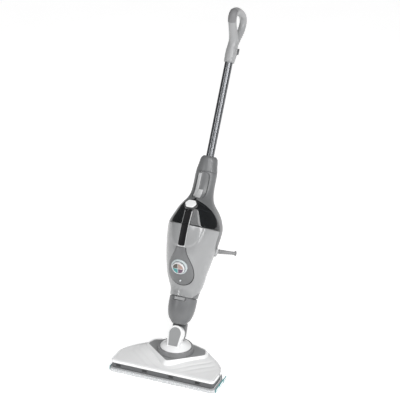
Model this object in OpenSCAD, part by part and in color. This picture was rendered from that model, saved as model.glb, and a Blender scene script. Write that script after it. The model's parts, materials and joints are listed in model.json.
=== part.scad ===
// Steam mop: a delta floor head with a washable pad, a ball turret that tilts fore and aft, a neck that
// swings side to side, a steam unit with a lift-off water tank, and a pole with a loop handle.
// Origin: centre of the pad's underside. +X to the right as seen from the front, +Y to the back,
// +Z up. The pole is leaned back as it is held in use. Millimetres.

/* [Head] */
// Width of the cleaning pad
pad_w = 320; // [310:1:330]
// Depth of the cleaning pad from front to back
pad_d = 180; // [176:1:186]
// Thickness of the pad
pad_t = 13; // [10:0.5:14]
// Height of the dark band round the base
band_t = 16; // [15:0.5:18]
// Height of the plate that carries the turret, above the floor
deck_z = 50; // [49:0.5:51]
// Height of the turret seat's rim above the floor
seat_z = 66; // [65:0.5:68]
// Distance of the turret behind the pad's centre
turret_y = 20; // [16:1:24]

/* [Turret] */
// Lean of the pole back from upright
lean = 28; // [20:1:40]
// Radius of the turret's ball
ball_r = 50; // [49.5:0.5:51]
// Radius of the opening that the ball sits in
seat_r = 44; // [43:0.5:45]
// Height of the dome above the rim of its seat
dome_rise = 14; // [12:0.5:16]
// Diameter of the knuckle pin
pin_d = 12; // [10:0.5:13]
// Radius of the knuckle's round top
knuckle_r = 22.5; // [21:0.5:24]

/* [Pole] */
// Outside diameter of the pole tube
tube_d = 23; // [20:0.5:24]
// Wall of the pole tube
tube_wall = 1.2; // [1:0.1:2]
// Height of the lower end of the tube in the collar, along the pole
tube_from = 484; // [480:1:500]
// Height of the upper end of the tube in the handle, along the pole
tube_to = 850; // [845:1:860]
// Height of the loop handle's top, along the pole
handle_top = 978; // [970:1:984]
// Thickness of the loop handle
handle_t = 23; // [20:1:26]

/* [Steam unit] */
// Wall of the moulded shells
wall = 2.5; // [2:0.1:3]
// Height of the joint between the neck and the shells, along the pole
neck_top = 140; // [139:1:141]
// Height of the joint between the shells and the tank, along the pole
tank_from = 340; // [338:1:342]
// Height of the tank's upper tip, along the pole
tank_to = 414; // [412:1:415]
// Height of the lower edge of the collar, along the pole
collar_from = 500; // [498:1:502]
// Height of the top edge of the collar, along the pole
collar_to = 545; // [541:1:545]
// Diameter of the dial's ring
dial_ring_d = 47; // [44:1:50]
// Diameter of the dial knob
dial_d = 35; // [32:1:38]
// Bore for the mains lead
cord_bore = 7.2; // [6:0.1:8]
// Length of the ribbed cord guard
guard_len = 60; // [50:1:70]

/* [Hidden] */
$fn = 64;

gap = 0.4;                                     // clearance between parts that move apart
base_z = pad_t + 1.2;                          // underside of the base, on the hook strips
shell_z = base_z + band_t;                     // lower edge of the white shell
shell_w = pad_w / 2 - 4;                       // half width of the white shell
shell_d = pad_d / 2 - 4;                       // distance of its front edge from the centre
tilt_z = seat_z - sqrt(ball_r * ball_r - seat_r * seat_r);
pole_ahead = 44;                               // the pole's axis runs this far ahead of the tilt axis
hub_drop = 21;                                 // the tilt axis is this far below the pole's zero height
knuckle_h = 33.5;                              // knuckle pin, along the pole
neck_y = 18;                                   // the neck's centre, behind the pole's axis
tilt_max = 58;                                 // furthest lean from upright
seat_polar = asin(seat_r / ball_r);
trunnion_d = 7;                                // turret's side pins
plate_t = 2;                                   // thickness of the delta plate

// Steam unit's outline: height along the pole, half width, front, rear, and the widest line's offset back
UNIT = [
    [140, 40, 18, 54, 18],
    [160, 43, 20, 62, 17],
    [175, 49, 28, 65, 12],
    [194, 54.5, 47, 65, 4],
    [210, 57, 63, 65, 0],
    [225, 60, 74, 65, 0],
    [240, 63, 82, 65, 0],
    [260, 66.5, 89, 66, 0],
    [280, 70, 92, 69, 0],
    [305, 74, 94, 74, 0],
    [335, 76.5, 94, 83, 0],
    [348, 75, 92, 88, 2],
    [362, 70, 90, 90, 6],
    [376, 63.5, 88, 86, 8],
    [390, 56, 85, 72, 7],
    [402, 47.5, 77, 54, 4],
    [415, 39.5, 56, 35, 0],
    [430, 34.5, 36, 25, 0],
    [450, 32, 28, 21, 0],
    [500, 31, 27, 20, 0],
    [520, 27.5, 26, 19, 0],
    [538, 24.5, 23, 17, 0],
    [545, 19, 18, 15, 0],
];
// Where the front and rear shells meet: height along the pole, and angle back from the side
SEAM = [[140, -36], [148, -22], [158, 6], [168, 26], [182, 32], [220, 30], [262, 24], [285, 4], [305, -6], [340, -5], [368, -12], [390, -24],
        [402, -40], [410, -62], [416, -87]];
// Neck's outline: height along the pole, half width, half depth
NECK = [[61, 19, 19], [67, 24, 22], [76, 31.5, 27], [90, 36.5, 32], [104, 39, 35], [120, 40, 36],
        [139.6, 40, 36]];
// Oval panel in the neck's front: height along the pole, and half angle
PANEL = [[418, 3], [422, 24], [434, 34], [462, 38], [488, 34], [496, 22], [499.5, 3]];

NOSE = [0, -80, 398];                          // centre of the tank button
NOSE_TURN = 50;                                // the button faces forwards and this far below upright
DIAL = [0, -72.5, 220];                        // centre of the dial on the pod
DIAL_TURN = 125;
SLIDE_TURN = 75;                               // the tank slides forwards and 15 degrees up
CORD = [64, 29, 284];                          // where the cord guard leaves the rear shell
CORD_TURN = 35;                                // guard's direction, back from the side
CORD_RISE = 5;

trigger_from = 421.6;                          // lower end of the trigger
trigger_to = 447;
release_from = 471;                            // lower end of the tube release at the back
release_len = 48;

// Half of the head's outline, front centre to rear centre, as seen from above
REAR = [[0, shell_d - 2], [56, 75], [84, 64], [100, 49], [126, 27], [shell_w - 9, 2], [shell_w, -24]];
HALF_PLAN = concat([[0, -shell_d], [shell_w, -shell_d]], [for (i = [len(REAR) - 1:-1:0]) REAR[i]]);
// Half of the delta plate's outline
HALF_DELTA = [[0, -48], [87, 26], [77, 54], [36, 68], [0, 73]];

module on_pole()
    translate([0, turret_y, tilt_z])
    rotate([-lean, 0, 0])
    translate([0, -pole_ahead, hub_drop])
    children();

module on_turret()
    translate([0, pole_ahead, -hub_drop])
    children();

module facing(place, turn)
    translate(place)
    rotate([turn, 0, 0])
    children();

// Smooth interpolation through a table of rows that start with a height
function row_at(t, h, i = 0) = (i >= len(t) - 2 || h < t[i + 1][0]) ? i : row_at(t, h, i + 1);
function rise(t, i, k) =
    let (a = max(i - 1, 0), b = min(i + 1, len(t) - 1)) (t[b][k] - t[a][k]) / (t[b][0] - t[a][0]);
function at(t, h, k) =
    let (
        i = row_at(t, h),
        d = t[i + 1][0] - t[i][0],
        u = (h - t[i][0]) / d,
        v = 1 - u
    )
    t[i][k] * (1 + 2 * u) * v * v + rise(t, i, k) * d * u * v * v
    + t[i + 1][k] * (3 - 2 * u) * u * u - rise(t, i + 1, k) * d * u * u * v;

// Point on the steam unit's skin: height, angle from +X, and distance outwards
function skin(h, a, out) =
    let (w = at(UNIT, h, 1), f = at(UNIT, h, 2), r = at(UNIT, h, 3), c = at(UNIT, h, 4))
    [(w + out) * cos(a), c + (sin(a) < 0 ? f + c + out : r - c + out) * sin(a), h];
// Point on the skin's front at a distance x from the centre plane
function front(h, x, out) = skin(h, -acos(x / (at(UNIT, h, 1) + out)), out);
// Closed ring of an arc of the skin with a wall inside it
function arc_ring(h, a0, a1, out, thick, n) = concat(
    [for (i = [0:n]) skin(h, a0 + (a1 - a0) * i / n, out)],
    [for (i = [n:-1:0]) skin(h, a0 + (a1 - a0) * i / n, out - thick)]
);
// Closed ring across the front between two distances from the centre plane
function band_ring(h, x0, x1, low, high, n) = concat(
    [for (i = [0:n]) front(h, x0 + (x1 - x0) * i / n, high)],
    [for (i = [n:-1:0]) front(h, x0 + (x1 - x0) * i / n, low)]
);
// Closed ring all round the skin
function full_ring(h) = [for (i = [0:35]) skin(h, 10 * i, 0)];
function steps(a, b, n) = [for (i = [0:n]) a + (b - a) * i / n];

// Solid through a stack of closed rings, each counter-clockwise from above, lowest first. Bands and arcs
// are bent back on themselves, so their end faces are strips between the two runs of points.
module loft(rings, bent = false) {
    n = len(rings[0]);
    m = len(rings);
    end = bent
        ? [for (i = [0:n / 2 - 2]) each [[i, i + 1, n - 1 - i], [i + 1, n - 2 - i, n - 1 - i]]]
        : [[for (i = [0:n - 1]) i]];
    polyhedron(
        points = [for (ring = rings) each ring],
        faces = concat(
            end,
            [for (j = [0:m - 2]) for (i = [0:n - 1]) [j * n + i, (j + 1) * n + i, (j + 1) * n + (i + 1) % n]],
            [for (j = [0:m - 2]) for (i = [0:n - 1])
                [j * n + i, (j + 1) * n + (i + 1) % n, j * n + (i + 1) % n]],
            [for (f = end) [for (k = [len(f) - 1:-1:0]) (m - 1) * n + f[k]]]
        )
    );
}

function both_sides(half) = concat(
    half,
    [for (i = [len(half) - 2:-1:1]) [-half[i][0], half[i][1]]]
);

module plan(grow, corner = 8)
    offset(r = corner)
    offset(delta = grow - corner)
    polygon(both_sides(HALF_PLAN));

module delta(grow, corner = 4)
    offset(r = corner)
    offset(delta = grow - corner)
    polygon(both_sides(HALF_DELTA));

module compression_spring(r, wire, length, coils) {
    // a stack of rings stands for the coil
    for (i = [0:coils - 1])
        translate([0, 0, wire / 2 + (length - wire) * i / (coils - 1)])
        rotate_extrude($fn = 32)
        translate([r, 0])
        circle(wire / 2, $fn = 16);
    for (a = [0, 180])
        rotate([0, 0, a])
        translate([r, 0, wire / 2])
        cylinder(d = wire * 0.8, h = length - wire, $fn = 16);
}

// ---- Head

module mop_pad()
    color("gainsboro")
    linear_extrude(pad_t)
    plan(4, 10);

module hook_strips()
    color("dimgray")
    for (y = [-58, 6])
        translate([-120, y, pad_t])
        cube([240, 22, base_z - pad_t]);

module base_plate()
    color("dimgray")
    difference() {
        translate([0, 0, base_z])
        linear_extrude(band_t)
        plan(-2, 8);
        translate([0, 0, base_z + 2])
        linear_extrude(band_t)
        plan(-6, 6);
        for (x = [-132, -52, 28, 108])
            translate([x - 7, -90, base_z + 6])
            cube([14, 7, 5]);
        for (x = [-130, 130], y = [-60, -6])
            translate([x, y, base_z - 1])
            cylinder(d = 4.2, h = 5);
        for (x = [-80:20:80])
            translate([x, -66, base_z - 1])
            cylinder(d = 3, h = 5, $fn = 24);
    }

module pad_clips()
    color("black")
    for (x = [-132, -52, 28, 108])
        translate([x - 6.8, -85.5, base_z + 6.2])
        cube([13.6, 2.4, 4.6]);

module steam_bar()
    color("silver")
    difference() {
        translate([-92, -74, base_z + 2])
        cube([184, 16, 9]);
        translate([-88, -70, base_z + 4])
        cube([176, 8, 5]);
        for (x = [-80:20:80])
            translate([x, -66, base_z + 1])
            cylinder(d = 3, h = 4, $fn = 24);
    }

module turret_bearings()
    color("dimgray")
    difference() {
        for (side = [-1, 1])
            translate([side * 56 - 6, turret_y - 9, base_z + 2])
            cube([12, 18, deck_z - plate_t - 2.4 - base_z]);
        for (side = [-1, 1])
            translate([side * 56 - 7, turret_y, tilt_z])
            rotate([0, 90, 0])
            cylinder(d = trunnion_d + 0.12, h = 14);
    }

// Height of the white shell's top above its lower edge, and its grid
function ease(t) = let (u = min(max(t, 0), 1)) u * u * (3 - 2 * u);
function rear_edge(x) = lookup(abs(x), REAR);
function crown(x, y) =
    3 + (deck_z - 4 - shell_z) * ease((shell_w - abs(x)) / 92) * ease((y + shell_d + 6) / 66)
    * (0.35 + 0.65 * ease((rear_edge(x) + 4 - y) / 30));
GRID_X = 34;
GRID_Y = 18;
function grid_point(i, j, inset) =
    let (
        u = min(max((i - 1) / (GRID_X - 2), 0), 1),
        v = min(max((j - 1) / (GRID_Y - 2), 0), 1),
        reach = shell_w - inset,
        x = -reach + 2 * reach * u,
        y0 = inset - shell_d,
        y1 = rear_edge(x) - inset,
        y = y0 + (y1 - y0) * v,
        edge = i == 0 || j == 0 || i == GRID_X || j == GRID_Y
    )
    [x, y, shell_z + (edge ? 0 : crown(x, y) - inset)];
module shell_cover() {
    across = GRID_Y + 1;
    count = (GRID_X + 1) * across;
    function at_grid(i, j) = i * across + j;
    rim = concat(
        [for (i = [0:GRID_X - 1]) [i, 0]],
        [for (j = [0:GRID_Y - 1]) [GRID_X, j]],
        [for (i = [GRID_X:-1:1]) [i, GRID_Y]],
        [for (j = [GRID_Y:-1:1]) [0, j]]
    );
    polyhedron(
        points = concat(
            [for (i = [0:GRID_X]) for (j = [0:GRID_Y]) grid_point(i, j, 0)],
            [for (i = [0:GRID_X]) for (j = [0:GRID_Y]) grid_point(i, j, wall)]
        ),
        faces = concat(
            [for (i = [0:GRID_X - 1]) for (j = [0:GRID_Y - 1])
                [at_grid(i, j), at_grid(i + 1, j + 1), at_grid(i + 1, j)]],
            [for (i = [0:GRID_X - 1]) for (j = [0:GRID_Y - 1])
                [at_grid(i, j), at_grid(i, j + 1), at_grid(i + 1, j + 1)]],
            [for (i = [0:GRID_X - 1]) for (j = [0:GRID_Y - 1])
                [count + at_grid(i, j), count + at_grid(i + 1, j), count + at_grid(i + 1, j + 1)]],
            [for (i = [0:GRID_X - 1]) for (j = [0:GRID_Y - 1])
                [count + at_grid(i, j), count + at_grid(i + 1, j + 1), count + at_grid(i, j + 1)]],
            [for (k = [0:len(rim) - 1])
                let (a = rim[k], b = rim[(k + 1) % len(rim)])
                [at_grid(a[0], a[1]), at_grid(b[0], b[1]), count + at_grid(b[0], b[1])]],
            [for (k = [0:len(rim) - 1])
                let (a = rim[k], b = rim[(k + 1) % len(rim)])
                [at_grid(a[0], a[1]), count + at_grid(b[0], b[1]), count + at_grid(a[0], a[1])]]
        )
    );
}

module head_shell()
    color("white")
    difference() {
        shell_cover();
        translate([0, 0, shell_z - 5])
        linear_extrude(40)
        delta(9.3, 6);
    }

module delta_rim()
    color("white")
    translate([0, 0, deck_z - 12])
    linear_extrude(13.5)
    difference() {
        delta(9, 6);
        delta(0.3);
    }

module delta_plate()
    color("darkgray")
    difference() {
        translate([0, 0, deck_z - plate_t])
        linear_extrude(plate_t)
        delta(0);
        translate([0, turret_y, deck_z - 5])
        cylinder(r = ball_r + 1, h = 6);
    }

module seat_ring()
    color("gray")
    translate([0, turret_y, 0])
    difference() {
        translate([0, 0, deck_z])
        cylinder(r1 = seat_r + 7.6, r2 = seat_r + 2.6, h = seat_z - deck_z, $fn = 144);
        translate([0, 0, tilt_z])
        sphere(ball_r + gap, $fn = 144);
    }

module head_screws()
    color("silver")
    for (x = [-130, 130], y = [-60, -6])
        translate([x, y, base_z])
        cylinder(d = 4, h = 9);

// ---- Turret, drawn about the tilt axis in the pole's frame

module turret() {
    front_polar = seat_polar + tilt_max;
    rear_polar = seat_polar + 1;
    front_edge = [-ball_r * sin(front_polar), ball_r * cos(front_polar)];
    rear_edge_pt = [ball_r * sin(rear_polar), ball_r * cos(rear_polar)];
    cut_turn = atan2(rear_edge_pt[1] - front_edge[1], rear_edge_pt[0] - front_edge[0]);
    flat_r = (seat_r * seat_r + dome_rise * dome_rise) / (2 * dome_rise);
    color("whitesmoke")
    on_pole()
    difference() {
        union() {
            on_turret()
            difference() {
                intersection() {
                    sphere(ball_r, $fn = 96);
                    rotate([lean, 0, 0])
                    translate([0, 0, seat_z - tilt_z + dome_rise - flat_r])
                    sphere(flat_r, $fn = 96);
                }
                intersection() {
                    sphere(ball_r - 4, $fn = 96);
                    rotate([lean, 0, 0])
                    translate([0, 0, seat_z - tilt_z + dome_rise - flat_r])
                    sphere(flat_r - 4, $fn = 96);
                }
                translate([0, front_edge[0], front_edge[1]])
                rotate([cut_turn, 0, 0])
                translate([-60, -60, -100])
                cube([120, 220, 100]);
            }
            on_turret()
            for (side = [-1, 1])
                rotate([0, side * 90, 0])
                intersection() {
                    cylinder(r = 14, h = 60);
                    translate([0, 0, 39])
                    cylinder(r1 = 24, r2 = 18, h = 7);
                }
            on_turret()
            for (side = [-1, 1])
                rotate([0, side * 90, 0])
                translate([0, 0, 40])
                cylinder(d = trunnion_d, h = 21);
            translate([0, 28, 0])
            rotate([90, 0, 0])
            linear_extrude(22)
            hull() {
                translate([0, knuckle_h])
                circle(knuckle_r);
                translate([-18, -8])
                square([36, 10]);
            }
        }
        translate([0, 28.2, knuckle_h])
        rotate([-90, 0, 0])
        cylinder(r = knuckle_r + 0.8, h = 30);
        translate([0, 0, knuckle_h])
        rotate([-90, 0, 0])
        cylinder(d = pin_d, h = 40);
    }
}

module turret_inlay()
    color("darkgray")
    on_pole()
    translate([0, 6, 0])
    rotate([90, 0, 0])
    linear_extrude(1.4)
    hull() {
        translate([0, knuckle_h])
        circle(knuckle_r - 5.5);
        translate([-13, -2.6])
        square([26, 6]);
    }

module knuckle_pin()
    color("silver")
    on_pole()
    translate([0, 6.2, knuckle_h])
    rotate([-90, 0, 0])
    difference() {
        cylinder(d = pin_d, h = 38.6);
        translate([0, 0, -1])
        cylinder(d = pin_d - 5, h = 42);
    }

// ---- Neck

function neck_ring(h, inset) =
    [for (i = [0:27])
        let (a = 360 * i / 28)
        [(at(NECK, h, 1) - inset) * cos(a), neck_y + (at(NECK, h, 2) - inset) * sin(a), h]];

module lower_neck()
    color("dimgray")
    on_pole()
    difference() {
        union() {
            difference() {
                loft([for (h = steps(NECK[0][0], NECK[6][0], 12)) neck_ring(h, 0)]);
                loft([for (h = steps(70, 136, 8)) neck_ring(h, 3)]);
            }
            translate([0, 28.6, knuckle_h])
            rotate([-90, 0, 0])
            cylinder(r = knuckle_r - 0.5, h = 15.4);
            translate([-19, 28.6, knuckle_h])
            cube([38, 10, 30]);
        }
        translate([0, 20, knuckle_h])
        rotate([-90, 0, 0])
        cylinder(d = pin_d + 0.12, h = 40);
        translate([-15.6, -22, 128.6])
        cube([31.2, 17.6, 9]);
        translate([0, neck_y, 60])
        cylinder(d = 10, h = 90);
    }

module steam_spigot()
    color("silver")
    on_pole()
    translate([0, neck_y, 72])
    difference() {
        cylinder(d = 10, h = 76);
        translate([0, 0, -1])
        cylinder(d = 6, h = 78);
    }

module neck_button()
    color("darkgray")
    on_pole()
    translate([-15, -18.6, 129])
    cube([30, 9, 8.2]);

module neck_button_spring()
    color("silver")
    on_pole()
    facing([0, -9.4, 133], -90)
    compression_spring(2.6, 0.8, 22.2, 10);

// ---- Steam unit

module front_shell()
    color("silver")
    on_pole()
    difference() {
        loft([for (h = concat(LOW_STEPS, steps(191, tank_from - 0.5, 16)))
            arc_ring(h, -180 - at(SEAM, h, 1) + 1, at(SEAM, h, 1) - 1, 0, wall, 26)], bent = true);
        facing(DIAL, DIAL_TURN)
        translate([0, 0, -14])
        cylinder(d = dial_ring_d + 0.6, h = 30);
        facing([0, -38.5, 184], DIAL_TURN)
        translate([0, 0, -8])
        cylinder(d = 5.1, h = 20);
    }

// Heights of the rings where the shells' joint runs slantwise
LOW_STEPS = steps(neck_top, 184, 11);
// Angle where the rear shell starts: along the tank, then along the oval panel
function rear_start(h) = h < 417 ? at(SEAM, min(h, 416), 1) : at(PANEL, min(max(h, 418), 499.5), 1) - 90;

module rear_shell()
    color("dimgray")
    on_pole()
    difference() {
        loft([for (h = concat(LOW_STEPS, steps(191, 396, 18), steps(399, 424, 10), steps(429, collar_from + 1, 13)))
            arc_ring(h, rear_start(h), 180 - rear_start(h), 0, wall, 28)], bent = true);
        translate(CORD)
        rotate([0, 0, CORD_TURN])
        rotate([0, 90 - CORD_RISE, 0])
        translate([0, 0, -20])
        cylinder(d = 27, h = 40);
        union() {
            release_slot();
            translate([-50, -50, collar_from - 0.3])
            cube([100, 100, 10]);
        }
    }

module neck_cover()
    color("dimgray")
    on_pole()
    difference() {
        loft([for (h = concat(steps(418.8, 427, 4), steps(431, 499, 13)))
            arc_ring(h, -90 - at(PANEL, h, 1) + 1, -90 + at(PANEL, h, 1) - 1, -1.4, wall, 12)], bent = true);
        loft([for (h = steps(trigger_from - 0.5, trigger_to + 0.5, 5))
            band_ring(h, -5.5, 9.5, -9, 3, 3)], bent = true);
    }

module grip_inset()
    color("silver")
    on_pole()
    loft([for (h = steps(425, 492, 12)) band_ring(h, -13.5, -6.4, -1.2, 0.2, 3)], bent = true);

module trigger()
    color("lightgray")
    on_pole()
    loft([for (h = steps(trigger_from, trigger_to, 5)) band_ring(h, -5, 9, -8, 1.2, 3)], bent = true);

module trigger_spring()
    color("silver")
    on_pole()
    facing([2, -23.2, 434], -90)
    compression_spring(3, 0.8, 7, 5);

module collar()
    color("gray")
    on_pole()
    difference() {
        loft([for (u = [0, 0.13, 0.27, 0.4, 0.53, 0.67, 0.78, 0.87, 0.93, 0.98, 1])
            full_ring(collar_from + (collar_to - collar_from) * u)]);
        translate([0, 0, collar_from - 1])
        cylinder(d = tube_d + 0.12, h = 50);
        release_slot();
    }

module release_slot()
    translate([-9.5, 12.1, release_from - 0.5])
    cube([19, 20, release_len + 1]);

module tube_release()
    color("darkgray")
    on_pole()
    hull() {
        translate([-9, 13.5, release_from])
        cube([18, 6.5, release_len]);
        translate([-6, 13.5, release_from + 5])
        cube([12, 8.8, release_len - 12]);
    }

module tube_release_spring()
    color("silver")
    on_pole()
    facing([0, 13.3, 488], 90)
    compression_spring(2.2, 0.7, 1.6, 2);

// Half width of the control pod: round below, narrowing to the strip above
function pod_half(h) =
    h < 216 ? sqrt(max(37 * 37 - (h - 209) * (h - 209), 4))
    : 13.4 + 22.9 * (1 - ease((h - 216) / 60));

module control_pod()
    color("gray")
    on_pole()
    difference() {
        loft([for (h = concat([172.2, 173, 174.5, 177, 180.5, 185], steps(190, 274, 14)))
            band_ring(h, -pod_half(h), pod_half(h), 0.3, 2.8, 12)], bent = true);
        facing(DIAL, DIAL_TURN)
        translate([0, 0, -14])
        cylinder(d = dial_ring_d + 0.6, h = 30);
        facing([0, -38.5, 184], DIAL_TURN)
        translate([0, 0, -8])
        cylinder(d = 5.1, h = 20);
    }

module dial_ring()
    color("silver")
    on_pole()
    facing(DIAL, DIAL_TURN)
    difference() {
        translate([0, 0, -9])
        cylinder(d = dial_ring_d, h = 12.5);
        translate([0, 0, -10])
        cylinder(d = 10.12, h = 20);
    }

module dial()
    color("whitesmoke")
    on_pole()
    facing(DIAL, DIAL_TURN)
    union() {
        translate([0, 0, 4])
        cylinder(d1 = dial_d + 2, d2 = dial_d, h = 6);
        translate([0, 0, -12])
        cylinder(d = 10, h = 17);
    }

module dial_face()
    color("lightblue")
    on_pole()
    facing(DIAL, DIAL_TURN)
    translate([0, 0, 10])
    cylinder(d = dial_d - 4, h = 0.8);

module led_lens()
    color("white")
    on_pole()
    facing([0, -38.5, 184], DIAL_TURN)
    translate([0, 0, -6])
    cylinder(d = 5, h = 10);

module body_trim()
    color("lightgray")
    on_pole()
    loft([for (h = steps(275, tank_from - 0.6, 8)) band_ring(h, -13.4, 13.4, 0.3, 1.1, 6)], bent = true);

module body_strip()
    color("black")
    on_pole()
    loft([for (h = steps(279, tank_from - 0.6, 8)) band_ring(h, -10, 10, 1.4, 2.8, 6)], bent = true);

module cord_gland()
    color("black")
    on_pole()
    translate(CORD)
    rotate([0, 0, CORD_TURN])
    rotate([0, 90 - CORD_RISE, 0])
    difference() {
        translate([0, 0, -12])
        cylinder(d = 26, h = 12);
        translate([0, 0, -13])
        cylinder(d = cord_bore, h = 20);
        translate([0, 0, -3])
        cylinder(d = 22, h = 4);
    }

module cord_guard()
    color("gray")
    on_pole()
    translate(CORD)
    rotate([0, 0, CORD_TURN])
    rotate([0, 90 - CORD_RISE, 0])
    difference() {
        union() {
            translate([0, 0, -3])
            cylinder(d1 = 12.5, d2 = 10, h = guard_len + 3);
            for (i = [0:6])
                translate([0, 0, 2 + i * (guard_len - 12) / 7])
                cylinder(d = 15 - 0.35 * i, h = 3.4);
            translate([0, 0, guard_len - 3])
            cylinder(d = 14.5, h = 3);
        }
        translate([0, 0, -4])
        cylinder(d = cord_bore, h = guard_len + 10);
    }

module boiler()
    color("silver")
    on_pole()
    translate([0, 16, 182])
    union() {
        cylinder(d = 46, h = 84);
        translate([0, 0, 20])
        cylinder(d = 52, h = 3);
        translate([0, 0, 60])
        cylinder(d = 52, h = 3);
    }

module pump()
    color("dimgray")
    on_pole()
    union() {
        translate([0, 34, 272])
        cylinder(d = 34, h = 44);
        translate([0, 34, 316])
        cylinder(d = 14, h = 10);
    }

module circuit_board()
    color("seagreen")
    on_pole()
    union() {
        translate([-24, -58, 246])
        cube([48, 1.6, 70]);
        translate([-14, -56.4, 262])
        cube([16, 8, 12]);
        translate([4, -56.4, 288])
        cube([12, 12, 14]);
    }

module thermostat()
    color("sandybrown")
    on_pole()
    translate([0, -7.2, 226])
    rotate([90, 0, 0])
    cylinder(d = 16, h = 7);

module water_hose()
    color("white")
    on_pole()
    translate([0, 34, 326])
    cylinder(d = 7, h = 9.4);

module steam_hose()
    color("white")
    on_pole()
    translate([0, neck_y, 149])
    difference() {
        cylinder(d = 10, h = 33);
        translate([0, 0, -1])
        cylinder(d = 6, h = 32);
    }

// Line across the back of the tank
function tank_back(h) = skin(h, at(SEAM, h, 1), 0)[1];

module tank_bulkhead()
    color("gray")
    on_pole()
    union() {
        loft([for (h = [tank_from - 4.2, tank_from - 0.6]) [for (i = [0:35]) skin(h, 10 * i, -wall - 0.4)]]);
        loft([for (h = steps(tank_from - 2, 400, 6))
            let (x = skin(h, at(SEAM, h, 1), -wall - 0.6)[0], y = tank_back(h) + 0.8)
            [[-x, y, h], [x, y, h], [x, y + 2.4, h], [-x, y + 2.4, h]]]);
        facing([0, tank_back(354) + 2, 354], SLIDE_TURN)
        cylinder(d = 8, h = 13);
    }

module shell_screws()
    color("silver")
    on_pole()
    for (h = [170, 320], x = [-22, 22])
        translate([x, 44, h])
        rotate([-90, 0, 0])
        cylinder(d = 4, h = 10);

// ---- Tank

function tank_ring(h, inset) =
    let (a = at(SEAM, h, 1) - 1 - inset * 1.3)
    [for (i = [0:24]) skin(h, -180 - a + (180 + 2 * a) * i / 24, -inset)];

module water_tank()
    color("darkslategray")
    on_pole()
    difference() {
        loft([for (h = concat(steps(tank_from, 396, 8), steps(399, tank_to, 6))) tank_ring(h, 0)]);
        loft([for (h = steps(tank_from + 2.5, 380, 6)) tank_ring(h, 2.6)]);
        facing(NOSE, NOSE_TURN)
        translate([0, 0, -14])
        cylinder(r = 21.5, h = 40);
        facing([0, tank_back(354) + 2, 354], SLIDE_TURN)
        translate([0, 0, -2])
        cylinder(d = 14, h = 18);
    }

module tank_trim()
    color("lightgray")
    on_pole()
    loft([for (h = steps(tank_from, 376.2, 5)) band_ring(h, -13.4, 13.4, 0.3, 1.1, 6)], bent = true);

module tank_strip()
    color("black")
    on_pole()
    loft([for (h = steps(tank_from, 376.8, 5)) band_ring(h, -10, 10, 1.4, 2.8, 6)], bent = true);

module oval(grow)
    offset(r = 7 + grow, $fn = 48)
    polygon([[-10, 0], [-5, 7], [5, 7], [10, 0], [5, -7], [-5, -7]]);

module button_bezel()
    color("black")
    on_pole()
    facing(NOSE, NOSE_TURN)
    difference() {
        translate([0, 0, -13.6])
        cylinder(r = 21.2, h = 16);
        translate([0, 0, -10])
        linear_extrude(20)
        oval(0.4);
    }

module tank_button()
    color("white")
    on_pole()
    facing(NOSE, NOSE_TURN)
    translate([0, 0, -3.4])
    linear_extrude(7.4)
    oval(0);

module tank_button_spring()
    color("silver")
    on_pole()
    facing(NOSE, NOSE_TURN)
    translate([0, 0, -9.9])
    compression_spring(4, 0.9, 6.4, 4);

module tank_valve()
    color("whitesmoke")
    on_pole()
    facing([0, tank_back(354) + 2, 354], SLIDE_TURN)
    difference() {
        translate([0, 0, 5.4])
        cylinder(d = 14, h = 10.6);
        translate([0, 0, 5])
        cylinder(d = 8.12, h = 9);
    }

// ---- Pole and handle

module pole_tube()
    color("slategray")
    on_pole()
    difference() {
        translate([0, 0, tube_from])
        cylinder(d = tube_d, h = tube_to - tube_from);
        translate([0, 0, tube_from - 1])
        cylinder(d = tube_d - 2 * tube_wall, h = tube_to - tube_from + 2);
    }

module loop_outline() {
    difference() {
        hull() {
            translate([0, handle_top - 50])
            circle(50);
            translate([0, 846])
            circle(16);
        }
        hull() {
            translate([0, handle_top - 51])
            circle(33);
            translate([0, 882])
            circle(6);
        }
    }
}

module handle_loop()
    color("silver")
    on_pole()
    difference() {
        union() {
            rotate([90, 0, 90])
            translate([0, 0, -handle_t / 2])
            linear_extrude(handle_t)
            loop_outline();
            translate([0, 0, 819])
            cylinder(d1 = 29, d2 = 31, h = 34);
        }
        translate([0, 0, 818])
        cylinder(d = tube_d + 0.12, h = 32.2);
        translate([0, 12.9, 832])
        rotate([-90, 0, 0])
        cylinder(d = 5.12, h = 10);
    }

module handle_grip()
    color("gray")
    on_pole()
    rotate([90, 0, 90])
    translate([0, handle_top - 50, -handle_t / 2 + 2])
    rotate([0, 0, 96])
    rotate_extrude(angle = 78)
    translate([50, 0])
    square([1.6, handle_t - 4]);

module cord_hook()
    color("dimgray")
    on_pole()
    difference() {
        union() {
            translate([0, 16.2, 832])
            rotate([-90, 0, 0])
            cylinder(d = 16, h = 9);
            translate([-6, 21.4, 832])
            cube([12, 3.8, 20]);
            translate([-6, 21.4, 848])
            cube([12, 7.8, 5]);
            translate([-6, 25.2, 848])
            cube([12, 4, 11]);
        }
        translate([0, 15, 832])
        rotate([-90, 0, 0])
        cylinder(d = 5.12, h = 12);
    }

module hook_screw()
    color("silver")
    on_pole()
    translate([0, 13, 832])
    rotate([-90, 0, 0])
    union() {
        cylinder(d = 5, h = 13);
        translate([0, 0, 12.4])
        cylinder(d = 9, h = 2);
    }

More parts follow.
